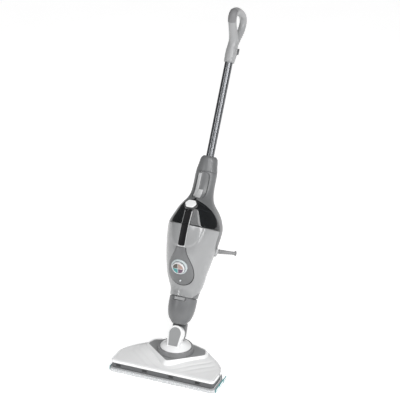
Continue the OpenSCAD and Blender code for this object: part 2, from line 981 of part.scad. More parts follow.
mop_pad();
hook_strips();
base_plate();
pad_clips();
steam_bar();
turret_bearings();
head_shell();
delta_rim();
delta_plate();
seat_ring();
head_screws();
turret();
turret_inlay();
knuckle_pin();
lower_neck();
steam_spigot();
neck_button();
neck_button_spring();
front_shell();
rear_shell();
neck_cover();
grip_inset();
collar();
trigger();
trigger_spring();
tube_release();
tube_release_spring();
control_pod();
dial_ring();
dial();
dial_face();
led_lens();
body_strip();
body_trim();
cord_guard();
cord_gland();
boiler();
pump();
circuit_board();
thermostat();
water_hose();
steam_hose();
tank_bulkhead();
shell_screws();
water_tank();
tank_strip();
tank_trim();
button_bezel();
tank_button();
tank_button_spring();
tank_valve();
pole_tube();
handle_loop();
handle_grip();
cord_hook();
hook_screw();
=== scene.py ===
import json
import math

import bmesh
import bpy
from mathutils import Matrix, Vector, noise


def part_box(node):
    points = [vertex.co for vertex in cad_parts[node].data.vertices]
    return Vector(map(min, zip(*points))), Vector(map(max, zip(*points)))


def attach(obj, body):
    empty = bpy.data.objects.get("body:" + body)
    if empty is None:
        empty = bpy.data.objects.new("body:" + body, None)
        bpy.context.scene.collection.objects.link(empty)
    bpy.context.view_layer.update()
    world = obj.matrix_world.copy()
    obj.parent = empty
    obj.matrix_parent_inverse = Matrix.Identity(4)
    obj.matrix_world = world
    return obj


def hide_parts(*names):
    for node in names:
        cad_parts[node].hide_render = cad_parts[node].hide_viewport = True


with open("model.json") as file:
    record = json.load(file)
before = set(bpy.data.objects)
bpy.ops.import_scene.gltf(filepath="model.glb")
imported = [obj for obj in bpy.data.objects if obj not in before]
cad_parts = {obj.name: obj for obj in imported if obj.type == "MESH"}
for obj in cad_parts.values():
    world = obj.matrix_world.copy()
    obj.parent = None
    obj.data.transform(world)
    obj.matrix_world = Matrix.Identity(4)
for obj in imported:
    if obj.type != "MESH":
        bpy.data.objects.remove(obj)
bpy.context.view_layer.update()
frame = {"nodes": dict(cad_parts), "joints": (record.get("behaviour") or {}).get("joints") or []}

MM = 0.001

# ---- Frame: the pole's own axes, from the swivel joint

SWIVEL = next(j for j in frame["joints"] if j["name"] == "side_swivel")
TILT = next(j for j in frame["joints"] if j["name"] == "head_tilt")
SWIVEL_AT = Vector((0, 30, 33.5))  # the swivel joint in the pole's frame, mm
LEAN = math.atan2(-SWIVEL["axis"][2], SWIVEL["axis"][1])
POLE = (Matrix.Translation(Vector(SWIVEL["pos_m"])) @ Matrix.Rotation(-LEAN, 4, "X")
        @ Matrix.Translation(-SWIVEL_AT * MM) @ Matrix.Scale(MM, 4))
HEAD = Matrix.Scale(MM, 4)

DECK_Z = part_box("delta_plate")[1].z / MM  # top of the delta plate
SHELL_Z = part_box("head_shell")[0].z / MM  # lower edge of the white shell
PAD_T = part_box("mop_pad")[1].z / MM
TURRET_Y = TILT["pos_m"][1] / MM
SHELL_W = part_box("head_shell")[1].x / MM  # half width
SHELL_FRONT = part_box("head_shell")[0].y / MM

# ---- Outlines, mm, in the same forms as the part's source

# Steam unit: height along the pole, half width, front, rear, and the widest line's offset back
UNIT = [
    (140, 40, 18, 54, 18), (160, 43, 20, 62, 17), (175, 49, 28, 65, 12), (194, 54.5, 47, 65, 4),
    (210, 57, 63, 65, 0), (225, 60, 74, 65, 0), (240, 63, 82, 65, 0), (260, 66.5, 89, 66, 0),
    (280, 70, 92, 69, 0), (305, 74, 94, 74, 0), (335, 76.5, 94, 83, 0), (348, 75, 92, 88, 2),
    (362, 70, 90, 90, 6), (376, 63.5, 88, 86, 8), (390, 56, 85, 72, 7), (402, 47.5, 77, 54, 4),
    (415, 39.5, 56, 35, 0), (430, 34.5, 36, 25, 0), (450, 32, 28, 21, 0), (500, 31, 27, 20, 0),
    (520, 27.5, 26, 19, 0), (538, 24.5, 23, 17, 0), (545, 19, 18, 15, 0),
]
# Joint between the light front shell and the dark rear one: height, angle back from the unit's side
SEAM = [
    (140, -36), (148, -22), (158, 6), (168, 26), (182, 32), (220, 30), (262, 24), (285, 4), (305, -6),
    (340, -5), (368, -12), (390, -24), (402, -40), (410, -62), (416, -87),
]
# Cover on the front of the neck above the tank: height, half its angle
PANEL = [(418, 3), (422, 24), (434, 34), (462, 38), (488, 34), (496, 22), (499.5, 3)]
# Bulb-shaped neck below the unit: height, half width, half depth
NECK = [(61, 19, 19), (67, 24, 22), (76, 31.5, 27), (90, 36.5, 32), (104, 39, 35), (120, 40, 36),
        (139.6, 40, 36)]
# Right halves of the delta plate and of the shell's rear edge
HALF_DELTA = [(0, -48), (87, 26), (77, 54), (36, 68), (0, 73)]
REAR = [(0, -SHELL_FRONT - 2), (56, 75), (84, 64), (100, 49), (126, 27), (SHELL_W - 9, 2), (SHELL_W, -24)]
HALF_PLAN = [(0, SHELL_FRONT), (SHELL_W, SHELL_FRONT)] + REAR[::-1]
NECK_Y = 18  # the bulb's axis behind the pole's
STRIP_FROM = 276  # lower end of the black strip's border
TANK_FROM = 340
TANK_TO = 414
SHELL_T = 2.4  # wall of the unit's shells
UNIT_FROM = 140  # lower end of the unit's shells
LOW_TO = 184  # upper end of their narrow lower stretch
COVER_FROM = 418  # ends of the neck's cover
COVER_TO = 499.5
COLLAR_FROM = 500
COLLAR_TO = 545
NOSE = Vector((0, -80, 398))  # middle of the tank button, and its face's turn about X
NOSE_TURN = math.radians(50)
DIAL = Vector((0, -72.5, 220))  # middle of the dial, and its face's turn about X
DIAL_TURN = math.radians(125)


def at(table, h, k):
    """Smooth value of column k at height h."""
    i = 0
    while i < len(table) - 2 and h >= table[i + 1][0]:
        i += 1

    def slope(j):
        a, b = max(j - 1, 0), min(j + 1, len(table) - 1)
        return (table[b][k] - table[a][k]) / (table[b][0] - table[a][0])

    d = table[i + 1][0] - table[i][0]
    u = (h - table[i][0]) / d
    v = 1 - u
    return (table[i][k] * (1 + 2 * u) * v * v + slope(i) * d * u * v * v
            + table[i + 1][k] * (3 - 2 * u) * u * u - slope(i + 1) * d * u * u * v)


def skin(h, a, out=0.0):
    """Point on the steam unit's skin: height, angle from +X in degrees, distance outwards."""
    w, f, r, c = (at(UNIT, h, k) for k in (1, 2, 3, 4))
    s = math.sin(math.radians(a))
    depth = f + c + out if s < 0 else r - c + out
    return Vector(((w + out) * math.cos(math.radians(a)), c + depth * s, h))


def front(h, x, out=0.0):
    """Point on the skin's front at a distance x from the centre plane."""
    return skin(h, -math.degrees(math.acos(max(-1, min(1, x / (at(UNIT, h, 1) + out))))), out)


def ease(t):
    """Smooth step from 0 to 1."""
    t = min(max(t, 0.0), 1.0)
    return t * t * (3 - 2 * t)


def steps(a, b, n):
    """Even values from a to b, n steps apart."""
    return [a + (b - a) * i / n for i in range(n + 1)]


# ---- Mesh building

def finish_piece(obj, body, mat, replaces=(), smooth=35):
    """Puts one piece on its body, with its material and the CAD nodes that it stands for."""
    obj.data.materials.clear()
    obj.data.materials.append(mat)
    obj.data.polygons.foreach_set("use_smooth", [True] * len(obj.data.polygons))
    if smooth:
        obj.data.set_sharp_from_angle(angle=math.radians(smooth))
    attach(obj, body)
    if replaces:
        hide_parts(*replaces)
    return obj


def new_object(name, bm, place=POLE):
    """Object from a bmesh in mm, put in the row frame."""
    bmesh.ops.remove_doubles(bm, verts=bm.verts, dist=0.002)
    bmesh.ops.recalc_face_normals(bm, faces=bm.faces)
    bm.transform(place)
    mesh = bpy.data.meshes.new(name)
    bm.to_mesh(mesh)
    bm.free()
    obj = bpy.data.objects.new(name, mesh)
    bpy.context.scene.collection.objects.link(obj)
    return obj


def add_grid(bm, rows, wrap=False, caps=False):
    """Quads through rows of points, joined round if wrap, with end faces if caps."""
    made = [[bm.verts.new(p) for p in row] for row in rows]
    n = len(made[0])
    for lower, upper in zip(made, made[1:]):
        for i in range(n if wrap else n - 1):
            k = (i + 1) % n
            bm.faces.new((lower[i], lower[k], upper[k], upper[i]))
    if caps:
        bm.faces.new(made[0][::-1])
        bm.faces.new(made[-1])


def grid_object(name, rows, place=POLE, wrap=False, caps=False):
    """Object from one grid of points."""
    bm = bmesh.new()
    add_grid(bm, rows, wrap, caps)
    return new_object(name, bm, place)


def turned(name, profile, place, sides=72, closed=True):
    """Surface turned about Z from (radius, height) points; closed joins the last to the first."""
    bm = bmesh.new()
    turns = [math.tau * i / sides for i in range(sides)]
    rows = [[Vector((r * math.cos(t), r * math.sin(t), z)) for t in turns] for r, z in profile]
    add_grid(bm, rows + ([rows[0]] if closed else []), wrap=True)
    return new_object(name, bm, place)


def modifier(obj, kind, **values):
    """Adds a modifier with its settings."""
    m = obj.modifiers.new(kind.lower(), kind)
    for key, value in values.items():
        setattr(m, key, value)
    return m


def bake(obj):
    """Applies the modifiers to the mesh."""
    bpy.context.view_layer.update()
    graph = bpy.context.evaluated_depsgraph_get()
    mesh = bpy.data.meshes.new_from_object(obj.evaluated_get(graph))
    obj.modifiers.clear()
    obj.data = mesh
    return obj


def softened(obj, voxel, rounds):
    """Gives a piece soft moulded edges: remeshed in voxels of some mm, then relaxed."""
    modifier(obj, "REMESH", mode="VOXEL", voxel_size=voxel * MM)
    modifier(obj, "SMOOTH", factor=0.5, iterations=rounds)
    return bake(obj)


def moulded(name, cad_node, voxel, rounds):
    """Softened copy of a CAD node."""
    obj = bpy.data.objects.new(name, frame["nodes"][cad_node].data.copy())
    bpy.context.scene.collection.objects.link(obj)
    return softened(obj, voxel, rounds)


def facing(place, turn):
    """Frame of a face on the pole whose normal is +Z turned about X."""
    return POLE @ Matrix.Translation(place) @ Matrix.Rotation(turn, 4, "X")


def rounded(points, radius, n=6):
    """Closed outline with every corner rounded by an arc-like curve."""
    out = []
    count = len(points)
    for i in range(count):
        p = Vector(points[i])
        a, b = Vector(points[i - 1]) - p, Vector(points[(i + 1) % count]) - p
        cut_a, cut_b = min(radius, a.length * 0.45), min(radius, b.length * 0.45)
        start, end = p + a.normalized() * cut_a, p + b.normalized() * cut_b
        for t in steps(0, 1, n):
            out.append(start * (1 - t) ** 2 + p * 2 * t * (1 - t) + end * t ** 2)
    return out


def both_sides(half):
    """Outline from its right half, mirrored in the centre plane."""
    return list(half) + [(-x, y) for x, y in reversed(half) if abs(x) > 1e-6]


def spaced(outline, step):
    """Closed outline resampled at an even distance."""
    loop = list(outline) + [outline[0]]
    length = [0.0]
    for a, b in zip(loop, loop[1:]):
        length.append(length[-1] + (b - a).length)
    n = max(8, round(length[-1] / step))
    out, j = [], 0
    for i in range(n):
        s = length[-1] * i / n
        while length[j + 1] < s:
            j += 1
        t = (s - length[j]) / max(length[j + 1] - length[j], 1e-9)
        out.append(loop[j].lerp(loop[j + 1], t))
    return out


def grown(outline, d):
    """Closed counter-clockwise outline moved outwards by d."""
    n = len(outline)
    out = []
    for i in range(n):
        t = outline[(i + 1) % n] - outline[i - 1]
        out.append(outline[i] + Vector((t.y, -t.x)).normalized() * d)
    return out


def ribbon(name, outline, profile, place=HEAD, cap_ends=False):
    """Skin round an outline: profile is a list of (outward distance, height)."""
    rows = []
    for d, z in profile:
        rows.append([Vector((p.x, p.y, z)) for p in grown(outline, d)])
    return grid_object(name, rows, place, wrap=True, caps=cap_ends)


def outline_distance(x, y, outline):
    """Signed distance from a point to a closed outline, positive outside."""
    best, inside = 1e9, False
    ax, ay = outline[-1]
    for bx, by in outline:
        tx, ty = bx - ax, by - ay
        u = ((x - ax) * tx + (y - ay) * ty) / max(tx * tx + ty * ty, 1e-9)
        u = min(max(u, 0.0), 1.0)
        best = min(best, (x - ax - tx * u) ** 2 + (y - ay - ty * u) ** 2)
        if (ay > y) != (by > y) and x < ax + (y - ay) * tx / ty:
            inside = not inside
        ax, ay = bx, by
    return -math.sqrt(best) if inside else math.sqrt(best)


# ---- Materials

def node(tree, kind, **values):
    """New shader node; values name its inputs or its own settings."""
    made = tree.nodes.new(kind)
    for key, value in values.items():
        if key in made.inputs:
            made.inputs[key].default_value = value
        else:
            setattr(made, key.lower(), value)
    return made


def surface(name, rough, metallic=0.0, coat=0.0, transmission=0.0, sheen=0.0, ior=1.5):
    """New material with its shader; values are constants for the shader's sockets."""
    mat = bpy.data.materials.new(name)
    mat.use_nodes = True
    tree = mat.node_tree
    shader = tree.nodes["Principled BSDF"]
    shader.inputs["Roughness"].default_value = rough
    shader.inputs["Metallic"].default_value = metallic
    shader.inputs["Coat Weight"].default_value = coat
    shader.inputs["Coat Roughness"].default_value = 0.08
    shader.inputs["Transmission Weight"].default_value = transmission
    shader.inputs["Sheen Weight"].default_value = sheen
    shader.inputs["IOR"].default_value = ior
    return mat, tree, shader


def spots(tree, scale, detail=3.0, stretch=(1, 1, 1), turn=0.0):
    """Noise over the row frame, stretched and turned about X."""
    place = node(tree, "ShaderNodeTexCoord")
    mapping = node(tree, "ShaderNodeMapping")
    mapping.vector_type = "TEXTURE"
    mapping.inputs["Scale"].default_value = [1 / s for s in stretch]
    mapping.inputs["Rotation"].default_value = (-turn, 0, 0)
    made = node(tree, "ShaderNodeTexNoise", Scale=scale, Detail=detail)
    tree.links.new(place.outputs["Object"], mapping.inputs["Vector"])
    tree.links.new(mapping.outputs["Vector"], made.inputs["Vector"])
    return made.outputs["Fac"]


def ramp(tree, factor, low, high):
    """Maps a factor to colours or greys between two stops."""
    made = tree.nodes.new("ShaderNodeValToRGB")
    made.color_ramp.elements[0].position, made.color_ramp.elements[1].position = 0.3, 0.7
    made.color_ramp.elements[0].color = (*low, 1)
    made.color_ramp.elements[1].color = (*high, 1)
    tree.links.new(factor, made.inputs["Fac"])
    return made.outputs["Color"]


def bump(tree, shader, height, strength, distance):
    """Relief from a height; distance in metres."""
    made = node(tree, "ShaderNodeBump", Strength=strength, Distance=distance)
    tree.links.new(height, made.inputs["Height"])
    tree.links.new(made.outputs["Normal"], shader.inputs["Normal"])


def shades(colour, spread):
    """Darker and lighter version of a colour or grey."""
    return tuple(c * (1 - spread) for c in colour), tuple(min(1.0, c * (1 + spread)) for c in colour)


def plastic(name, colour, rough, coat=0.0, grain=1400, depth=0.00005, spread=0.03, ior=1.5):
    """Moulded plastic: slight colour drift, fine spark-eroded grain and uneven polish."""
    mat, tree, shader = surface(name, rough, coat=coat, ior=ior)
    tree.links.new(ramp(tree, spots(tree, 28), *shades(colour, spread)), shader.inputs["Base Color"])
    polish = ramp(tree, spots(tree, 90, 4), *shades((rough,) * 3, 0.14))
    tree.links.new(polish, shader.inputs["Roughness"])
    bump(tree, shader, spots(tree, grain, 2), 0.35, depth)
    return mat


def metal(name, colour, rough, stretch=(60, 60, 1), turn=0.0, drift=0.1, depth=0.00004):
    """Metal with drawing lines along one direction; without a depth they are only in its shade."""
    mat, tree, shader = surface(name, rough, metallic=1.0)
    lines = spots(tree, 40, 3, stretch, turn)
    tree.links.new(ramp(tree, lines, *shades(colour, drift)), shader.inputs["Base Color"])
    tree.links.new(ramp(tree, lines, *shades((rough,) * 3, drift * 1.8)), shader.inputs["Roughness"])
    if depth:
        bump(tree, shader, lines, 0.15, depth)
    return mat


def smoked(name, colour, rough):
    """Dark transparent plastic with faint flow marks."""
    mat, tree, shader = surface(name, rough, transmission=0.82, ior=1.49)
    tree.links.new(ramp(tree, spots(tree, 18), *shades(colour, 0.12)), shader.inputs["Base Color"])
    tree.links.new(ramp(tree, spots(tree, 60), *shades((rough,) * 3, 0.2)), shader.inputs["Roughness"])
    return mat


WHITE = plastic("white_abs", (0.90, 0.903, 0.906), 0.2, coat=0.35, spread=0.01)
DECK_GREY = plastic("deck_grey", (0.30, 0.304, 0.308), 0.34, coat=0.1)
RING_GREY = plastic("ring_grey", (0.21, 0.212, 0.216), 0.30, coat=0.2)
BASE_GREY = plastic("base_grey", (0.10, 0.103, 0.107), 0.42)
NECK_GREY = plastic("neck_grey", (0.155, 0.158, 0.162), 0.36, coat=0.12)
SHELL_SILVER = plastic("shell_silver", (0.31, 0.314, 0.318), 0.22, coat=0.5, depth=0.00001, spread=0.02)
POD_GREY = plastic("pod_grey", (0.165, 0.168, 0.172), 0.34, coat=0.1)
LIGHT_GREY = plastic("light_grey", (0.50, 0.505, 0.51), 0.28, coat=0.3)
BLACK_GLOSS = plastic("black_gloss", (0.011, 0.011, 0.012), 0.12, coat=0.6, spread=0.1)
BLACK_STRIP = plastic("black_strip", (0.012, 0.012, 0.013), 0.32, spread=0.1, ior=1.2)
BLACK_SATIN = plastic("black_satin", (0.02, 0.02, 0.021), 0.45, spread=0.1)
RUBBER = plastic("rubber_grey", (0.16, 0.16, 0.163), 0.6, grain=800, depth=0.0001)
GUARD_GREY = plastic("guard_grey", (0.3, 0.3, 0.303), 0.6, grain=800, depth=0.0001)
# Darker grey of the patch on the outer face of the handle loop's front top.
PATCH_GREY = plastic("soft_grey", (0.2, 0.2, 0.205), 0.55, grain=700, depth=0.0001)
HANDLE_GREY = plastic("handle_grey", (0.33, 0.333, 0.338), 0.36, coat=0.15)
RING_SILVER = plastic("ring_silver", (0.52, 0.58, 0.59), 0.26, coat=0.5, grain=3000)
KNOB_SILVER = plastic("knob_silver", (0.68, 0.68, 0.69), 0.2, coat=0.6)
BOARD_GREEN = plastic("board_green", (0.03, 0.2, 0.09), 0.4, spread=0.2)
PHENOLIC = plastic("phenolic_tan", (0.5, 0.33, 0.15), 0.5, spread=0.15)
SILICONE = plastic("silicone", (0.62, 0.62, 0.6), 0.45, grain=600)
LED_CLEAR = plastic("led_lens", (0.62, 0.65, 0.66), 0.15, coat=0.6)
HOOK_TAPE = plastic("hook_tape", (0.05, 0.05, 0.052), 0.9, grain=500, depth=0.0006, spread=0.4)
SMOKE = smoked("smoked_clear", (0.055, 0.06, 0.066), 0.06)
STEEL = metal("zinc_steel", (0.55, 0.55, 0.57), 0.3)
BRASS = metal("turned_brass", (0.6, 0.5, 0.28), 0.3)
ALUMINIUM = metal("cast_aluminium", (0.62, 0.62, 0.63), 0.45, stretch=(1, 1, 1))
POLE_METAL = metal("pole_gunmetal", (0.19, 0.195, 0.205), 0.25, (2, 2, 0.05), LEAN, drift=0.05, depth=0)


def face_print(name):
    """Dial face: four tinted quarters round the dial's axis, with thin pale lines between them."""
    mat, tree, shader = surface(name, 0.18, coat=0.7)
    place = node(tree, "ShaderNodeTexCoord")
    shift = node(tree, "ShaderNodeMapping")
    centre = facing(DIAL, DIAL_TURN).translation
    rotate = node(tree, "ShaderNodeMapping")
    shift.inputs["Location"].default_value = -centre
    rotate.inputs["Rotation"].default_value = (LEAN - DIAL_TURN, 0, 0)
    split = node(tree, "ShaderNodeSeparateXYZ")
    tree.links.new(place.outputs["Object"], shift.inputs["Vector"])
    tree.links.new(shift.outputs["Vector"], rotate.inputs["Vector"])
    tree.links.new(rotate.outputs["Vector"], split.inputs["Vector"])

    def math_node(op, a, b):
        made = tree.nodes.new("ShaderNodeMath")
        made.operation = op
        for i, v in enumerate((a, b)):
            if isinstance(v, (int, float)):
                made.inputs[i].default_value = v
            else:
                tree.links.new(v, made.inputs[i])
        return made.outputs[0]

    def mix(factor, a, b):
        made = tree.nodes.new("ShaderNodeMix")
        made.data_type = "RGBA"
        tree.links.new(factor, made.inputs["Factor"])
        for socket, v in ((made.inputs[6], a), (made.inputs[7], b)):
            if isinstance(v, tuple):
                socket.default_value = (*v, 1)
            else:
                tree.links.new(v, socket)
        return made.outputs[2]

    right = math_node("GREATER_THAN", split.outputs["X"], 0.0)
    low = math_node("LESS_THAN", split.outputs["Y"], 0.0)
    upper = mix(right, (0.07, 0.06, 0.045), (0.36, 0.25, 0.21))
    lower = mix(right, (0.03, 0.26, 0.27), (0.10, 0.045, 0.09))
    near = math_node("MINIMUM", math_node("ABSOLUTE", split.outputs["X"], 0.0),
                     math_node("ABSOLUTE", split.outputs["Y"], 0.0))
    line = math_node("LESS_THAN", near, 0.0005)
    quarters = mix(low, upper, lower)
    tree.links.new(mix(line, quarters, (0.7, 0.72, 0.72)), shader.inputs["Base Color"])
    bump(tree, shader, spots(tree, 1500), 0.2, 0.00003)
    return mat


def microfibre(name):
    """Looped microfibre: mottled pale pile with a fine loop relief."""
    mat, tree, shader = surface(name, 0.95, sheen=0.5)
    shader.inputs["Sheen Roughness"].default_value = 0.5
    place = node(tree, "ShaderNodeTexCoord")
    mottle = ramp(tree, spots(tree, 420, 3), (0.42, 0.43, 0.44), (0.80, 0.81, 0.82))
    tree.links.new(mottle, shader.inputs["Base Color"])
    loops = tree.nodes.new("ShaderNodeTexVoronoi")
    loops.inputs["Scale"].default_value = 520
    tree.links.new(place.outputs["Object"], loops.inputs["Vector"])
    bump(tree, shader, loops.outputs["Distance"], 0.7, 0.0008)
    return mat


PILE = microfibre("pad_pile")
TEAL = plastic("teal_binding", (0.05, 0.30, 0.31), 0.85, grain=900, depth=0.0004, spread=0.18)
HEM_GREY = plastic("hem_grey", (0.34, 0.35, 0.36), 0.85, grain=900, depth=0.0004, spread=0.12)
TAB_WHITE = plastic("tab_webbing", (0.82, 0.83, 0.84), 0.8, grain=900, depth=0.0004, spread=0.04)
THREAD = plastic("thread", (0.66, 0.67, 0.68), 0.8, grain=1500, spread=0.1)
FACE_PRINT = face_print("dial_print")


# ---- Head

DELTA = rounded([Vector(p) for p in both_sides(HALF_DELTA)], 9, 5)
PLAN = rounded([Vector(p) for p in both_sides(HALF_PLAN)], 10, 6)
LIP = 7.5  # height of the white shell's upright edge


def rear_edge(x):
    """Rear edge of the shell, softened between its straight runs."""
    def straight(ax):
        for (x0, y0), (x1, y1) in zip(REAR, REAR[1:]):
            if ax <= x1:
                return y0 + (y1 - y0) * (ax - x0) / (x1 - x0)
        return REAR[-1][1]
    spread = min(5.0, SHELL_W - abs(x))
    return sum(straight(abs(x + d * spread)) for d in (-1, -0.5, 0, 0.5, 1)) / 5


def front_edge(x):
    """Front edge of the shell, straight between two round corners."""
    corner = 10
    over = max(abs(x) - (SHELL_W - corner), 0)
    return SHELL_FRONT + corner - math.sqrt(max(corner * corner - over * over, 0))


def cover_height(x, y, edge):
    """Top of the white shell: rounded lip, crease, wedge-shaped rise and ripples beside the delta."""
    rise = ease((SHELL_W - abs(x)) / 96) * ease((y - SHELL_FRONT) / 112)
    rise *= 0.35 + 0.65 * ease((rear_edge(x) + 4 - y) / 30)
    z = SHELL_Z + LIP + (DECK_Z - 4 - SHELL_Z - LIP) * rise
    if edge < 1.6:
        z -= 1.3 * (1 - edge / 1.6) ** 2
    z -= 1.1 * math.exp(-((edge - 4.2) / 0.9) ** 2)
    away = outline_distance(x, y, DELTA)
    ripple = 1.1 * math.exp(-((away - 30) / 3.6) ** 2) + 0.8 * math.exp(-((away - 49) / 4.4) ** 2)
    ripple += 0.3 * math.exp(-((away - 68) / 5) ** 2)
    return z - ripple * ease((edge - 7) / 16)


def head_cover():
    """White shell of the head, open under the delta plate; near are dense distances from its edges."""
    near = [0, 0, 0.5, 1.1, 1.8, 2.6, 3.3, 3.9, 4.5, 5.1, 6, 7.5]
    far = 9.5  # distance from which the mesh is even
    xs = near + steps(far, 2 * SHELL_W - far, 150) + [2 * SHELL_W - e for e in near[::-1]]
    rows = []
    for i, across in enumerate(xs):
        x = across - SHELL_W
        y0, y1 = front_edge(x), rear_edge(x)
        slant = math.hypot(1, (rear_edge(x + 2) - rear_edge(x - 2)) / 4)
        ys = [y0 + e for e in near] + steps(y0 + far, y1 - far, 84) + [y1 - e * slant for e in near[::-1]]
        row = []
        for j, y in enumerate(ys):
            low = i in (0, len(xs) - 1) or j in (0, len(ys) - 1)
            edge = min(SHELL_W - abs(x), y - y0, (y1 - y) / slant)
            row.append(Vector((x, y, SHELL_Z if low else cover_height(x, y, edge))))
        rows.append(row)
    bm = bmesh.new()
    add_grid(bm, rows)
    hidden = [f for f in bm.faces if outline_distance(*f.calc_center_median().xy, DELTA) < -5]
    bmesh.ops.delete(bm, geom=hidden, context="FACES")
    obj = new_object("head_cover", bm, HEAD)
    modifier(obj, "SOLIDIFY", thickness=2.2 * MM, offset=-1)
    bake(obj)
    return finish_piece(obj, "head", WHITE, ["head_shell"], smooth=50)


def delta_frame():
    """White rim round the delta plate, with a flank that falls outwards."""
    top = DECK_Z
    profile = [(6, top - 14), (13.6, top - 14), (13.2, top - 12.4), (12.2, top - 11), (4.4, top + 0.7),
               (3.6, top + 1.4), (2.6, top + 1.6), (1.4, top + 1.5), (0.8, top + 1.0), (0.4, top + 0.2),
               (0.4, top - 4), (3, top - 6)]
    obj = ribbon("delta_frame", DELTA, profile + profile[:1])
    return finish_piece(obj, "head", WHITE, ["delta_rim"], smooth=50)


def seat():
    """Ring in which the turret stands."""
    base = DECK_Z
    profile = [(50.2, base + 0.1), (52.0, base + 0.1), (51.9, base + 1.2), (51.6, base + 3.2),
               (50.8, base + 7), (49.6, base + 12), (48.6, base + 14.6), (47.6, base + 15.7),
               (46.3, base + 16), (45.2, base + 15.6), (44.8, base + 14.4), (46.2, base + 11),
               (48.2, base + 6)]
    obj = turned("seat_collar", profile, HEAD @ Matrix.Translation((0, TURRET_Y, 0)), 128)
    return finish_piece(obj, "head", RING_GREY, ["seat_ring"], smooth=40)


def pad():
    """The washable pad: a thin quilted body whose sides bulge; shape is outward distance and height."""
    outline = spaced(grown(PLAN, 3.4), 1.5)
    shape = [(-70, 0.2), (-14, 0.2), (-6, 0.1), (-3, 0.0), (-1.6, 0.4), (-0.7, 1.2), (-0.1, 2.4), (0.2, 3.6),
             (0.35, 5.0), (0.35, 6.4), (0.2, 7.8), (-0.1, 9.2), (-0.7, 10.6), (-1.6, 11.8), (-3.2, 12.8),
             (-6, PAD_T - 0.4), (-14, PAD_T - 0.2), (-70, PAD_T - 0.3)]
    rows = []
    for d, z in shape:
        row = []
        for p in grown(outline, max(d, -14)):
            inner = Vector((p.x * 0.5, p.y * 0.4)) if d < -14 else p
            side = math.exp(-((z - 6) / 4.5) ** 2) * (d > -6)
            away = p.normalized() * pile(Vector((p.x, p.y, z))) * side
            row.append(Vector((inner.x + away.x, inner.y + away.y, z)))
        rows.append(row)
    obj = grid_object("pad_cloth", rows, HEAD, wrap=True, caps=True)
    finish_piece(obj, "head", PILE, ["mop_pad"], smooth=0)
    return obj


def pile(p):
    """Height of the looped pile at a point: slow puffs between the quilting and small loops."""
    return 0.5 * noise.noise(p * 0.11) + 0.5 * noise.noise(p * 0.5) + 0.35 * noise.noise(p * 1.1)


def pad_hem():
    """Folded binding sewn round the pad's upper edge, and its stitches."""
    outline = spaced(grown(PLAN, 1.7), 4)
    profile = [(-1.2, 11.2), (0.1, 10.9), (1.0, 11.3), (1.35, 12.0), (1.0, 12.7), (0.1, 13.0), (-1.2, 12.9)]
    obj = ribbon("pad_hem", outline, profile + profile[:1])
    finish_piece(obj, "head", HEM_GREY)
    seam = spaced(grown(PLAN, 3.15), 5.2)
    bm = bmesh.new()
    for i, p in enumerate(seam):
        along = (seam[(i + 1) % len(seam)] - seam[i - 1]).normalized()
        turn = Matrix.Rotation(math.atan2(along.y, along.x), 4, "Z")
        place = Matrix.Translation((p.x, p.y, 11.9)) @ turn @ Matrix.Diagonal((1.7, 0.42, 0.42, 1))
        bmesh.ops.create_uvsphere(bm, u_segments=8, v_segments=6, radius=1, matrix=place)
    stitches = new_object("pad_stitches", bm, HEAD)
    finish_piece(stitches, "head", THREAD)


def pad_tabs():
    """White elastic tabs with teal borders, at both ends of the pad."""
    whites, teals = bmesh.new(), bmesh.new()
    half = SHELL_W + 3.7
    for side in (-1, 1):
        for y0, y1 in ((-77, -51), (-46, -22), (-17, 3)):
            for bm, proud, rim in ((whites, 2.4, 0), (teals, 1.9, 2)):
                rows = []
                for z, inset in [(2.6 - rim, 1.2), (3.2 - rim, 0.3), (4, 0), (8, 0), (9.6 + rim, 0.3),
                                 (10.2 + rim, 1.2)]:
                    ys = [y0 - rim, y0 - rim + 0.5, *steps(y0 + 1, y1 - 1, 4), y1 + rim - 0.5, y1 + rim]
                    ends = (0, len(ys) - 1)
                    xs = [half + proud * (0.4 if k in ends else 1) - inset for k in range(len(ys))]
                    rows.append([Vector((side * x, y, z)) for x, y in zip(xs, ys)])
                add_grid(bm, rows if side > 0 else [row[::-1] for row in rows])
    for name, bm, mat in (("pad_tabs", whites, TAB_WHITE), ("pad_bars", teals, TEAL)):
        obj = new_object(name, bm, HEAD)
        modifier(obj, "SOLIDIFY", thickness=1.0 * MM, offset=0)
        bake(obj)
        finish_piece(obj, "head", mat)


# ---- Turret and neck

def turret():
    """White turret with its paddle."""
    obj = moulded("turret_moulding", "turret", 1.1, 8)
    return finish_piece(obj, "turret", WHITE, ["turret"], smooth=0)


def neck_lug():
    """Rounded lug of the neck, behind the paddle."""
    outline = [Vector((22 * math.cos(a), 33.5 + 22 * math.sin(a))) for a in
               (math.radians(d) for d in range(170, 371, 10))]
    outline += [Vector((21, 50)), Vector((20, 66)), Vector((-20, 66)), Vector((-21, 50))]
    outline = spaced(outline, 2.5)
    profile = [(-4, -44), (-1.6, -43.8), (-0.5, -43.1), (0, -41.8), (0, -30.8), (-0.6, -29.2), (-1.6, -28.6),
               (-4, -28.6)]
    place = POLE @ Matrix.Rotation(math.radians(90), 4, "X")
    obj = ribbon("neck_lug", outline, profile, place, cap_ends=True)
    return finish_piece(obj, "unit", NECK_GREY, smooth=40)


